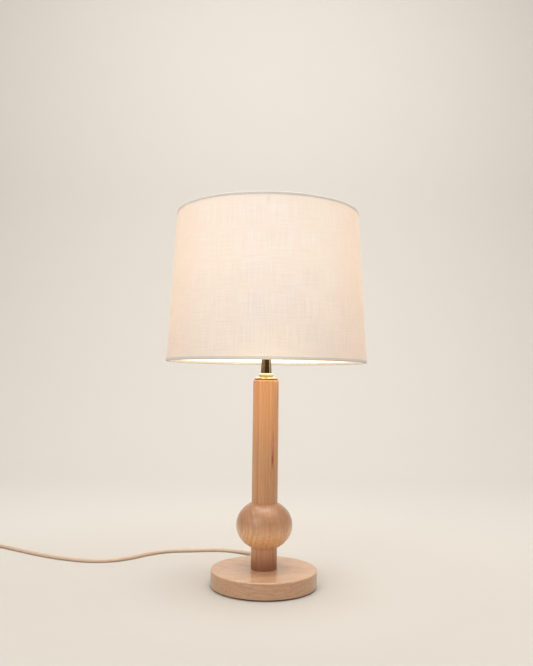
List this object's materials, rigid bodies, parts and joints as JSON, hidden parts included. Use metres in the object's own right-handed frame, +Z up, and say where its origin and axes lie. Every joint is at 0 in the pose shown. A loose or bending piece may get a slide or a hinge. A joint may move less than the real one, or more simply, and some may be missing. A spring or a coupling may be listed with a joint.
{
  "type": "table lamp",
  "caption": "Table lamp with a turned wooden column, ball and round base, a drum shade on a harp, and a cord with its plug.",
  "frame": {"origin": "centre of the felt pad's underside, on the surface the lamp stands on", "axes": "+Z up the column, -Y to the front, the cord leaves the base towards +Y and runs off to -X"},
  "size_m": [0.7094, 0.3909, 0.5651],
  "materials": {
    "wood": "satin clear finish, pale maple-like grain",
    "felt": "dark brown felt",
    "brass": "satin lacquered",
    "aged_brass": "dark antique finish with long highlights",
    "steel": "zinc plated",
    "phenolic": "moulded",
    "card": "pressed fibre",
    "knob": "moulded",
    "cap_metal": "drawn, threaded",
    "opal": "frosted",
    "linen": "slubbed linen weave",
    "liner": "translucent sheet",
    "tape": "fine bias tape",
    "wire": "powder coated",
    "cord": "smooth cream jacket",
    "lead": "insulation",
    "relief": "moulded, matte",
    "plug": "moulded cream",
    "strap": "hook-and-loop strap"
  },
  "bodies": {
    "lamp": {"felt_pad": "felt", "base_disc": "wood", "lower_post": "wood", "ball": "wood", "column": "wood", "lamp_pipe": "steel", "base_washer": "steel", "base_nut": "steel", "check_ring": "brass", "locknut": "brass", "neck": "aged_brass", "harp_saddle": "brass", "socket_cap": "brass", "socket_shell": "brass", "socket_liner": "card", "socket_body": "phenolic", "terminal_screws": "brass", "screw_shell": "brass", "centre_contact": "brass", "cord_inside": "cord", "inner_wires": "lead", "strain_relief": "relief", "cord": "cord", "cord_coil": "cord", "coil_tie": "strap", "plug_lead": "cord", "plug_body": "plug", "plug_pins": "brass"},
    "switch": {"switch_stem": "phenolic", "switch_knob": "knob"},
    "bulb_thread": {"bulb_tip": "cap_metal"},
    "bulb": {"bulb_cap": "cap_metal", "bulb_insulator": "phenolic", "bulb_glass": "opal", "bulb_led_mount": "opal"},
    "harp": {"harp": "brass"},
    "left_ferrule": {"ferrule_left": "brass"},
    "right_ferrule": {"ferrule_right": "brass"},
    "seat": {"harp_seat": "brass", "harp_stud": "brass"},
    "shade": {"shade_fabric": "linen", "shade_liner": "liner", "bottom_ring": "wire", "top_ring": "wire", "bottom_trim": "tape", "top_trim": "tape", "spider": "wire"},
    "finial": {"finial": "brass"}
  },
  "joints": [
    {"name": "switch_turn", "type": "hinge", "parent": "lamp", "child": "switch", "pos_m": [0, -0.02, 0.362], "axis": [0, -1, 0], "continuous": true},
    {"name": "bulb_lift", "type": "slide", "parent": "lamp", "child": "bulb_thread", "axis": [0, 0, 1], "range_m": [0, 0.00917]},
    {"name": "bulb_turn", "type": "hinge", "parent": "bulb_thread", "child": "bulb", "pos_m": [0, 0, 0.4], "axis": [0, 0, 1], "range_deg": [0, 900]},
    {"name": "harp_lift", "type": "slide", "parent": "lamp", "child": "harp", "axis": [0, 0, 1], "range_m": [0, 0.03]},
    {"name": "left_ferrule_lift", "type": "slide", "parent": "harp", "child": "left_ferrule", "axis": [0, 0, 1], "range_m": [0, 0.013]},
    {"name": "right_ferrule_lift", "type": "slide", "parent": "harp", "child": "right_ferrule", "axis": [0, 0, 1], "range_m": [0, 0.013]},
    {"name": "shade_tilt", "type": "hinge", "parent": "harp", "child": "seat", "pos_m": [0, 0, 0.53], "axis": [1, 0, 0], "range_deg": [-12, 12]},
    {"name": "shade_turn", "type": "hinge", "parent": "seat", "child": "shade", "pos_m": [0, 0, 0.5355], "axis": [0, 0, 1], "continuous": true},
    {"name": "finial_turn", "type": "hinge", "parent": "seat", "child": "finial", "pos_m": [0, 0, 0.54], "axis": [0, 0, 1], "continuous": true}
  ],
  "couplings": [
    {"joint": "bulb_lift", "follows": "bulb_turn", "m_per_rad": 0.00057773}
  ]
}
